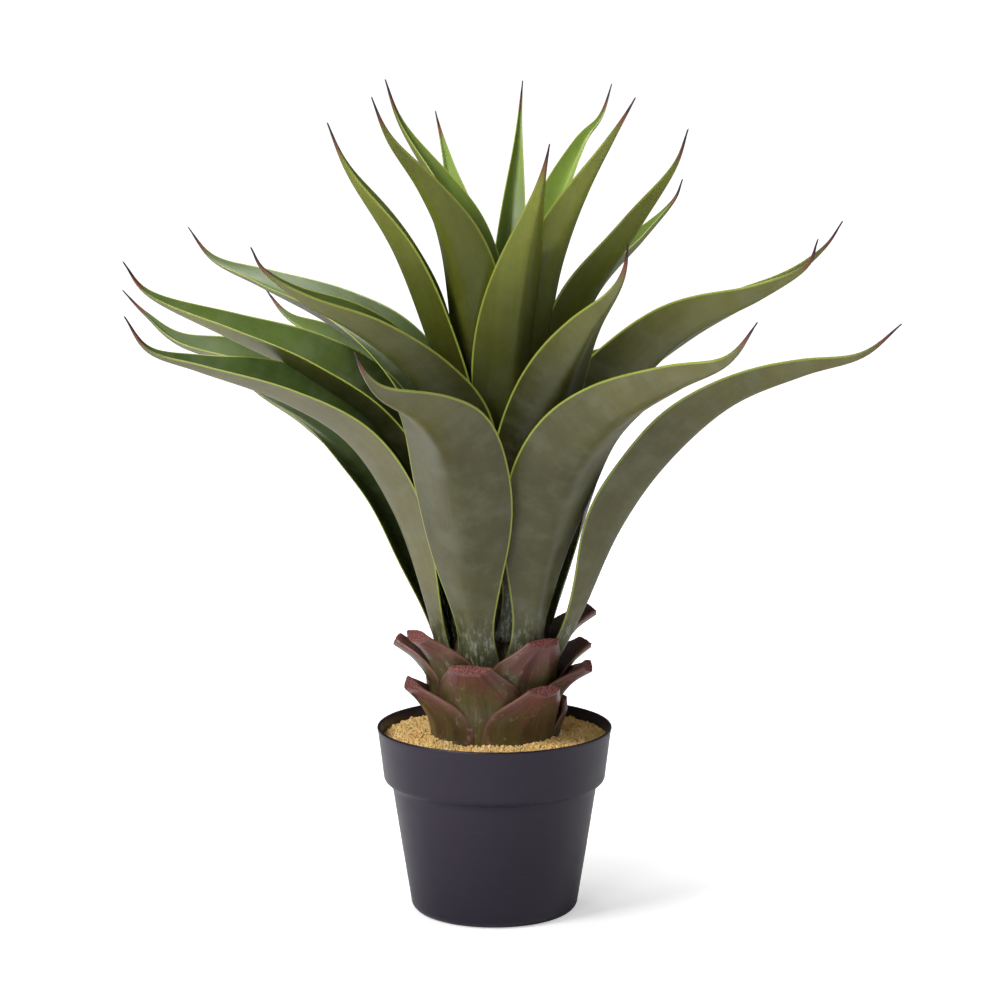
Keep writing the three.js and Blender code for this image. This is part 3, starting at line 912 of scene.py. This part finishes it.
@dataclass
class LeafMaker:
    """Builds leaves: a folded section carried along a curved midrib, with a rounded margin."""

    thickness: float = 5.0
    edge: float = 1.2
    fold_at_root: float = 20.0
    fold_added: float = 30.0
    softness: float = 0.22
    ripple: float = 0.9
    sheath_added: float = 0.3
    sheath_end: float = 0.13
    rise_power: float = 2.0
    fall_power: float = 1.6
    margin_bulge: float = 0.5
    map_width: float = 88.0
    map_length: float = 100.0
    stations: int = 80
    columns: int = 21

    def _fold(self, u: Array) -> Array:
        """Lift of the folded section: a hyperbola with a soft keel, 0 at the keel and 1 at the margin."""
        k = self.softness
        return (np.sqrt(u**2 + k**2) - k) / (math.sqrt(1 + k * k) - k)

    def _width(self, tier: Tier, s: Array) -> Array:
        """Width as a share of the widest.

        The sheath's share, squared off to nothing, is added at the root. The rest rises from the
        root share by a squared sine up to the crest, then falls to nothing at the tip by a cosine
        to the fall power.

        Args:
            tier: the leaf's tier.
            s: stations from 0 at the root to 1 at the tip.

        Returns:
            One share per station.
        """
        crest, base, _ = tier.value
        sheath = self.sheath_added * np.clip(1 - s / self.sheath_end, 0, 1) ** 2
        rise = np.sin(np.pi / 2 * np.clip(s / crest, 0, 1)) ** self.rise_power
        fall = np.clip(np.cos(np.pi / 2 * np.clip((s - crest) / (1 - crest), 0, 1)), 0, 1)
        return np.where(s < crest, base + sheath + (1 - base) * rise, fall**self.fall_power)

    def _ripple(self, rng: np.random.Generator, s: Array, u: Array) -> Array:
        """Slow waves of the margins, one for each side, growing with the cube of u and still at the ends.

        Args:
            rng: the leaf's random numbers.
            s: stations.
            u: places across, from -1 to 1.

        Returns:
            Lift in millimetres, stations x columns.
        """
        phase = rng.uniform(0, 2 * np.pi, 4)[:2]
        turns = rng.uniform(2.0, 4.5, 2)
        envelope = np.sin(np.pi * np.clip(s, 0, 1)) ** 0.8
        waves = np.sin(2 * np.pi * turns[:, None] * s + phase[:, None]) * envelope * self.ripple
        return np.where(u[None, :] < 0, waves[0][:, None], waves[1][:, None]) * np.abs(u[None, :]) ** 3

    def build(self, shape: LeafShape, seed: int) -> Object:
        """Makes one leaf.

        At share s, a point at u across (-1 to 1) lies at half width x cos(fold) x u to the side and
        half width x sin(fold) x soft-fold(u) up. The skin stands half the thickness off either side,
        thinning from the keel to the margin by 1 - u squared. The margins carry a slow ripple.

        Args:
            shape: the leaf's sizes.
            seed: seed of its small irregularities.

        Returns:
            The leaf, with its blade map and attributes.
        """
        rng = np.random.default_rng(seed)
        s = np.linspace(0.0, 1.0, self.stations) ** 0.92
        rail = Rail.along(shape.azimuth, shape.midrib, shape.turn, s)
        length = float(steps_along(rail.centre)[-1])
        half = shape.width / 2 * self._width(shape.tier, np.minimum(s, 0.995)) + 0.5
        fold = np.radians(self.fold_at_root + self.fold_added * s)[:, None]
        even = np.linspace(-1, 1, self.columns)
        u = np.sin(np.pi / 2 * even) * 0.55 + even * 0.45
        still = np.zeros(self.columns)
        loop = np.concatenate([u, [1.0], u[::-1], [-1.0]])
        side = np.concatenate([still - 1, [0.0], still + 1, [0.0]])
        bulge = np.concatenate([still, [1.0], still, [-1.0]])
        keel = np.maximum(self.thickness * (1 - s), self.edge)[:, None]
        wide = half[:, None]
        thick = np.minimum(self.edge + (keel - self.edge) * (1 - loop**2), wide * 1.4)
        x = wide * loop * np.cos(fold) + bulge * np.minimum(self.margin_bulge, wide * 0.5)
        y = wide * self._fold(loop) * np.sin(fold) + side * thick / 2 + self._ripple(rng, s, loop)
        point = rail.centre[-1] + (rail.centre[-1] - rail.centre[-2]) * 0.3
        made = tube_mesh(shape.name, rail.section(x, y), rail.centre[0], point)
        around = len(loop)
        shares = per_ring(s, around, 0.0, 1.0)
        lateral = per_column(loop, self.stations, 0.0, 0.0)
        halves = per_ring(half, around, half[0], half[-1])
        set_attributes(
            made,
            upper=per_column(side * 0.5 + 0.5, self.stations, 0.5, 0.5),
            edge_mm=halves * (1 - np.abs(lateral)),
            tip_mm=(1 - shares) * length,
            root_mm=shares * length,
            youth=np.clip(shape.tier.value[2] + rng.uniform(-0.15, 0.15), 0, 1),
            tone=rng.uniform(0, 1),
        )
        u_map = lateral * halves / self.map_width + 0.5 + seed * 0.37
        set_blade_map(made, u_map, shares * length / self.map_length + seed * 1.7)
        return made


@dataclass
class StubMaker:
    """Builds cut leaf bases: a thick scale that wraps the stem and flares to a rough cut."""

    stem_radius: float = 43.0
    clearance: float = 2.5
    crest: float = 0.48
    foot: float = 0.3
    cut: float = 0.42
    edge: float = 1.8
    added: float = 9.0
    ridge: float = 0.35
    roughness: float = 0.45
    crown: float = 0.8
    stations: int = 26
    columns: int = 23
    cap_rings: int = 7

    def _width(self, s: Array) -> Array:
        """Width share: a sine rise from the pointed foot to the crest, then a cosine fall to the cut."""
        rise = self.foot + (1 - self.foot) * np.sin(np.pi / 2 * np.clip(s / self.crest, 0, 1)) ** 0.9
        drop = np.cos(np.pi / 2 * np.clip((s - self.crest) / (1 - self.crest), 0, 1))
        return np.where(s < self.crest, rise, self.cut + (1 - self.cut) * np.clip(drop, 0, 1) ** 1.3)

    def _midrib(self, shape: StubShape) -> Points:
        """Returns reach and height along the scale: up the stem, then out to the cut."""
        root = self.stem_radius + self.clearance
        steps = (
            (0.0, 0.0),
            (2.5, 0.3),
            (5.0, 0.6),
            (7.0 + (shape.reach - root) * 0.3, 0.84),
            (shape.reach - root, 1.0),
        )
        return tuple((root + out, shape.foot + (shape.top - shape.foot) * up) for out, up in steps)

    def _cap(self, rng: np.random.Generator, rail: Rail, rim: Array, turn: Array) -> Array:
        """Closes the cut by rings that shrink to its middle line and stand slightly proud, roughened.

        Args:
            rng: the scale's random numbers.
            rail: its path.
            rim: the last ring.
            turn: turn round the stem of each point of the last ring.

        Returns:
            The rings of the cut; the last one is folded flat on the middle line.
        """
        wrap = self.stem_radius + 10
        x, y = wrap * np.sin(turn * 0.97), wrap * (1 - np.cos(turn * 0.97))
        middle = rail.centre[-1] + rail.across[-1] * x[:, None] + rail.lift[-1] * y[:, None]
        ahead = rail.centre[-1] - rail.centre[-2]
        ahead = ahead / np.linalg.norm(ahead)
        shrink = np.linspace(0, 1, self.cap_rings + 1)[1:, None]
        cap = rim[None] * (1 - shrink[..., None]) + middle[None] * shrink[..., None]
        calm = np.sin(np.pi * np.minimum(shrink * 0.9 + 0.05, 0.5))
        rough = rng.normal(0, self.roughness, cap.shape[:2]) * calm
        cap = cap + ahead * (rough + self.crown * shrink)[..., None]
        cap[-1, self.columns :] = cap[-1, : self.columns][::-1]
        return cap

    def build(self, shape: StubShape, seed: int) -> Object:
        """Makes one cut base.

        The section is an arc that wraps the stem: at share u across, the turn is half width x u over
        the wrap radius. It thickens towards the cut, and its outer face has fine ridges.

        Args:
            shape: the scale's sizes.
            seed: seed of its irregularities.

        Returns:
            The cut base, with its blade map and attributes.
        """
        rng = np.random.default_rng(seed)
        s = np.linspace(0, 1, self.stations)
        rail = Rail.along(shape.azimuth, self._midrib(shape), 0.0, s)
        half = shape.width / 2 * self._width(s)
        half = half * (1 + 0.025 * np.sin(2 * np.pi * (1.5 * s + rng.uniform())))
        wrap = (self.stem_radius + 5 + 5 * s)[:, None]
        u = np.linspace(-1, 1, self.columns)
        loop = np.concatenate([u, u[::-1]])
        side = np.repeat([-1.0, 1.0], self.columns)
        turn = half[:, None] * loop / wrap
        thick = self.edge + (self.added * (0.4 + 0.6 * s**2))[:, None] * (1 - loop**2)
        ridges = self.ridge * np.sin(loop * 19 + rng.uniform(0, 6)) * (side < 0) * np.sin(np.pi * s)[:, None]
        offset = side * thick / 2 - ridges
        body = rail.section((wrap - offset) * np.sin(turn), wrap * (1 - np.cos(turn)) + offset * np.cos(turn))
        rings = np.concatenate([body, self._cap(rng, rail, body[-1], turn[-1])])
        made = tube_mesh(shape.name, rings, rail.centre[0])
        capped = np.ones(self.cap_rings)
        around = len(loop)
        along = per_ring(np.concatenate([s, capped]), around, 0.0)
        lateral = per_column(loop, len(rings), 0.0)
        halves = per_ring(np.concatenate([half, capped * half[-1]]), around, half[0])
        set_attributes(
            made,
            along=along,
            edge_mm=halves * (1 - np.abs(lateral)),
            cut=per_ring(np.concatenate([s * 0, capped]), around, 0.0),
            tone=rng.uniform(0, 1),
        )
        set_blade_map(made, lateral * 0.3 + 0.5 + seed * 0.41, along * 0.6 + seed * 1.3)
        merge_close(made)
        return made


@dataclass
class Rosette:
    """The leaves and the cut leaf bases on the stem."""

    leaf_seed: int = 100
    stub_seed: int = 300

    def build(self, leaf: Material, stub: Material) -> list[Object]:
        """Makes every leaf and cut base, each in place of its solid.

        Args:
            leaf: finish of the leaves.
            stub: finish of the cut bases.

        Returns:
            The pieces.
        """
        leaves, stubs = LeafMaker(), StubMaker()
        made = [dress(leaves.build(s, self.leaf_seed + n), leaf, s.name) for n, s in enumerate(LEAVES)]
        made += [dress(stubs.build(s, self.stub_seed + n), stub, s.name) for n, s in enumerate(STUBS)]
        return made


# ---------------------------------------------------------------- pot, stem and grit


@dataclass
class Pot:
    """Nursery pot: tapered wall, a step under a rolled band, a thin rounded lip."""

    height: float = 152.0
    rim: float = 95.0
    band: float = 90.0
    band_bottom: float = 112.0
    step: float = 83.0
    step_height: float = 103.0
    foot: float = 68.0
    corner: float = 8.0
    wall: float = 2.5
    floor: float = 3.0
    lip: float = 1.3

    def outline(self) -> Points:
        """Returns the profile: outside from the middle of the foot to the lip, then down the inside."""
        quarter = np.linspace(0, math.pi / 2, 9)
        out, up = self.corner * (1 - np.sin(quarter)), self.corner * (1 - np.cos(quarter))
        lip_z = self.height - 1.4
        lip = [(self.rim - 1.2 + self.lip * math.cos(a), lip_z + self.lip * math.sin(a)) for a in 2 * quarter]
        outside = [
            (0.0, 0.0),
            (self.foot * 0.6, 0.0),
            *zip(self.foot - out, up),
            (self.foot + 7.0, self.step_height * 0.5),
            (self.step - 0.5, self.step_height - 3.0),
            (self.step, self.step_height),
            (self.step + 0.9, self.step_height + 1.6),
            (self.band - 2.6, self.band_bottom - 5.2),
            (self.band - 1.0, self.band_bottom - 3.6),
            (self.band - 0.2, self.band_bottom - 1.8),
            (self.band, self.band_bottom),
            (self.band + 2.3, 0.5 * (self.band_bottom + lip_z)),
            (self.rim - 0.6, self.height - 4.0),
        ]
        inside = [
            (self.rim - self.wall - 0.6, self.height - 4.0),
            (self.band - self.wall, self.band_bottom),
            (self.band - self.wall - 1.0, self.band_bottom - 3.4),
            (self.step - self.wall, self.step_height),
            (self.foot - self.wall, self.corner),
            (self.foot - self.wall - 4.0, self.floor),
            (0.0, self.floor),
        ]
        return tuple(outside + lip + inside)

    def build(self, finish: Material) -> Object:
        """Returns the pot, in place of its solid."""
        return dress(turned("pot_shell", self.outline()), finish, "pot")


@dataclass
class Stem:
    """Short stem, tapering inside the rosette; the profile is pairs of radius and height."""

    profile: Points = (
        (0, 70), (33, 70), (43, 100), (43, 208), (33, 228),
        (26, 246), (18, 268), (11, 290), (5, 299), (0, 302),
    )
    rings: int = 60
    rib_depth: float = 0.012

    def build(self, finish: Material) -> Object:
        """Makes the stem, in place of its solid.

        Ribs: the radius loses the rib depth times 1 plus half of two summed sines round the axis.

        Args:
            finish: its material.

        Returns:
            The stem.
        """
        line = np.array(self.profile, dtype=float)
        along = steps_along(line)
        fine = np.linspace(0, along[-1], self.rings)
        dense = np.stack([np.interp(fine, along, line[:, k]) for k in range(2)], -1)
        made = turned("stem_core", tuple(map(tuple, dense)))
        place = np.empty(len(made.data.vertices) * 3, dtype=np.float32)
        made.data.vertices.foreach_get("co", place)
        place = place.reshape(-1, 3)
        angle = np.arctan2(place[:, 1], place[:, 0])
        waves = np.sin(23 * angle + 30 * place[:, 2]) + np.sin(41 * angle)
        place[:, :2] *= (1 - self.rib_depth * (1 + 0.5 * waves))[:, None]
        made.data.vertices.foreach_set("co", place.ravel())
        return dress(made, finish, "stem")


@dataclass
class GritBed:
    """Grit top dressing: a rolling bed with loose crumbs of three sizes lying on it."""

    inner: float = 44.0
    outer: float = 91.0
    bottom: float = 138.6
    surface: float = 143.0
    heap: float = 3.5
    roughness: float = 0.45
    crumbs: int = 7600
    pebbles: int = 8
    seed: int = 11

    def level(self, radius: Array, angle: Array) -> Array:
        """Height of the bed: a low heap at the stem plus two slow waves round the pot."""
        near = np.clip((self.outer - radius) / (self.outer - self.inner), 0, 1)
        waves = 0.5 * np.sin(3 * angle + 0.09 * radius) + 0.4 * np.sin(7 * angle - 0.14 * radius + 1.3)
        return self.surface + self.heap * near**1.5 + waves

    def _bed(self) -> tuple[Array, Array]:
        """Returns points and quads of the ring-shaped bed: roughened top rings, then sides and bottom."""
        rng = np.random.default_rng(self.seed)
        radii = np.linspace(self.inner - 10, self.outer, 42)
        turn = np.linspace(0, 2 * np.pi, 260, endpoint=False)
        rr, aa = np.meshgrid(radii, turn, indexing="ij")
        top = self.level(rr, aa) - 0.6 + rng.normal(0, self.roughness, rr.shape)
        r = np.concatenate([rr, rr[-1:], rr[:1]])
        a = np.concatenate([aa, aa[:1], aa[:1]])
        z = np.concatenate([top, np.full((2, len(turn)), self.bottom)])
        points = np.stack([r * np.cos(a), r * np.sin(a), z], -1).reshape(-1, 3)
        return points, (tube_faces(len(r) + 1, len(turn)) % len(points))[:, ::-1]

    @staticmethod
    def _icosahedron() -> tuple[Array, Array]:
        """Returns corners at distance 1 and triangles of a regular twenty-sided body."""
        g = (1 + math.sqrt(5)) / 2
        corners = [(-1, g, 0), (1, g, 0), (-1, -g, 0), (1, -g, 0), (0, -1, g), (0, 1, g)]
        corners += [(0, -1, -g), (0, 1, -g), (g, 0, -1), (g, 0, 1), (-g, 0, -1), (-g, 0, 1)]
        faces = [(0, 11, 5), (0, 5, 1), (0, 1, 7), (0, 7, 10), (0, 10, 11), (1, 5, 9), (5, 11, 4)]
        faces += [(11, 10, 2), (10, 7, 6), (7, 1, 8), (3, 9, 4), (3, 4, 2), (3, 2, 6), (3, 6, 8)]
        faces += [(3, 8, 9), (4, 9, 5), (2, 4, 11), (6, 2, 10), (8, 6, 7), (9, 8, 1)]
        return np.array(corners) / math.hypot(1, g), np.array(faces)

    @staticmethod
    def _spins(rng: np.random.Generator, count: int) -> Array:
        """Returns random turns as 3 x 3 matrices, from unit quaternions."""
        turn = rng.normal(size=(count, 4))
        w, x, y, z = (turn / np.linalg.norm(turn, axis=1, keepdims=True)).T
        rows = (
            (1 - 2 * (y * y + z * z), 2 * (x * y - z * w), 2 * (x * z + y * w)),
            (2 * (x * y + z * w), 1 - 2 * (x * x + z * z), 2 * (y * z - x * w)),
            (2 * (x * z - y * w), 2 * (y * z + x * w), 1 - 2 * (x * x + y * y)),
        )
        return np.moveaxis(np.array(rows), -1, 0)

    def _loose(self) -> tuple[Array, Array, Array]:
        """Scatters the loose crumbs: each is one of the pebbles, stretched, turned and partly sunk.

        Returns:
            Vertices, triangles and a tone per vertex.
        """
        rng = np.random.default_rng(self.seed + 1)
        n = self.crumbs
        radius = np.sqrt(rng.uniform((self.inner - 1) ** 2, (self.outer - 1.5) ** 2, n))
        angle = rng.uniform(0, 2 * np.pi, n)
        kind = rng.choice(3, n, p=[0.62, 0.3, 0.08])
        size = np.choose(kind, [rng.uniform(*r, n) for r in ((0.5, 0.9), (0.9, 1.3), (1.3, 2.1))])
        radius = np.minimum(radius, self.outer - size)
        height = self.level(radius, angle) + size * rng.uniform(-0.2, 0.6, n)
        centre = np.stack([radius * np.cos(angle), radius * np.sin(angle), height], -1)
        corners, faces = self._icosahedron()
        pebbles = np.stack([corners * rng.uniform(0.72, 1.2, (12, 1)) for _ in range(self.pebbles)])
        local = pebbles[rng.integers(0, self.pebbles, n)] * rng.uniform(0.7, 1.15, (n, 1, 3))
        local = np.einsum("nij,nkj->nki", self._spins(rng, n), local) * size[:, None, None]
        vertices = (centre[:, None] + local).reshape(-1, 3)
        faces = (faces[None] + len(corners) * np.arange(n)[:, None, None]).reshape(-1, 3)
        return vertices, faces, np.repeat(rng.beta(2.2, 1.6, n), len(corners))

    def build(self, finish: Material) -> Object:
        """Makes the grit, in place of its solid.

        Args:
            finish: its material.

        Returns:
            The bed and its crumbs as one piece.
        """
        bed, quads = self._bed()
        loose, triangles, tone = self._loose()
        faces = np.vstack([halved(quads), triangles + len(bed)])
        made = mesh_object("grit_bed", np.vstack([bed, loose]) * MM, faces, smooth=False)
        rng = np.random.default_rng(self.seed + 2)
        set_attributes(made, tone=np.concatenate([rng.beta(1.6, 2.6, len(bed)), tone]))
        return dress(made, finish, "grit")


# ---------------------------------------------------------------- studio


@dataclass(frozen=True)
class SoftBox:
    """One rectangular studio light, aimed at a point."""

    name: str
    place: tuple[float, float, float]
    aim: tuple[float, float, float]
    width: float
    height: float
    watts: float

    def build(self) -> None:
        """Makes the light."""
        lamp = bpy.data.lights.new(self.name, "AREA")
        lamp.shape = "RECTANGLE"
        lamp.size, lamp.size_y, lamp.energy = self.width, self.height, self.watts
        made = bpy.data.objects.new(self.name, lamp)
        made.location = self.place
        away = Vector(self.aim) - Vector(self.place)
        made.rotation_euler = away.to_track_quat("-Z", "Y").to_euler()
        bpy.context.scene.collection.objects.link(made)


@dataclass
class Studio:
    """Pale floor, white surroundings, soft lights and the camera."""

    camera_place: tuple[float, float, float] = (0.0045, -2.5, 0.742)
    camera_pitch: float = 80.79
    lens: float = 113.7
    floor_size: float = 24.0
    surround: float = 0.07
    lights: tuple[SoftBox, ...] = (
        SoftBox("key", (-1.7, -1.4, 2.0), (0.0, 0.0, 0.45), 0.9, 0.9, 50.0),
        SoftBox("low", (-0.8, -2.1, 1.1), (0.0, 0.0, 0.12), 0.4, 0.7, 9.0),
        SoftBox("fill", (2.2, -0.6, 1.0), (0.0, 0.0, 0.35), 0.8, 1.8, 7.0),
        SoftBox("top", (-0.2, 0.3, 2.2), (0.0, 0.0, 0.6), 1.1, 1.1, 36.0),
    )

    def _floor(self) -> None:
        """Makes the floor."""
        half = self.floor_size / 2
        corners = np.array([(-half, -half, 0), (half, -half, 0), (half, half, 0), (-half, half, 0)])
        floor = mesh_object("floor", corners, np.array([[0, 1, 2, 3]]), smooth=False)
        floor.data.materials.append(FloorFinish().build())

    def _world(self) -> None:
        """Makes the surroundings: a dim even light that the camera sees as white."""
        world = bpy.data.worlds.new("surround")
        world.use_nodes = True
        g = Graph(world.node_tree)
        backdrop = world.node_tree.nodes["Background"]
        backdrop.inputs["Color"].default_value = (1.0, 1.0, 1.0, 1.0)
        seen = g.node("LightPath").outputs["Is Camera Ray"]
        g.plug(backdrop.inputs["Strength"], g.plus(self.surround, seen))
        bpy.context.scene.world = world

    def _camera(self) -> None:
        """Makes the camera and sets how its view is shown."""
        lens = bpy.data.cameras.new("camera")
        lens.lens, lens.sensor_width, lens.clip_end = self.lens, 36.0, 60.0
        camera = bpy.data.objects.new("camera", lens)
        camera.location = self.camera_place
        camera.rotation_euler = (math.radians(self.camera_pitch), 0.0, 0.0)
        bpy.context.scene.collection.objects.link(camera)
        bpy.context.scene.camera = camera
        bpy.context.scene.view_settings.view_transform = "Standard"

    def build(self) -> None:
        """Makes the whole studio."""
        self._floor()
        for light in self.lights:
            light.build()
        self._world()
        self._camera()


def dress_soil(finish: Material) -> None:
    """Gives the carried-over soil solid its finish."""
    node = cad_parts["soil"]
    if node.data.materials:
        node.material_slots[0].material = finish
    else:
        node.data.materials.append(finish)


def main() -> None:
    """Builds the plant, the pot and the studio."""
    logging.basicConfig(level=logging.INFO)
    shared = SharedGroups()
    pieces = [Pot().build(PotFinish().build(shared))]
    pieces.append(Stem().build(StemFinish().build(shared)))
    pieces.append(GritBed().build(GritFinish().build(shared)))
    pieces.extend(Rosette().build(LeafFinish().build(shared), StubFinish().build(shared)))
    dress_soil(SoilFinish().build(shared))
    Studio().build()
    for piece in pieces:
        LOG.info("%s: %d faces", piece.name, len(piece.data.polygons))
    bpy.context.view_layer.update()


if __name__ == "__main__":
    main()
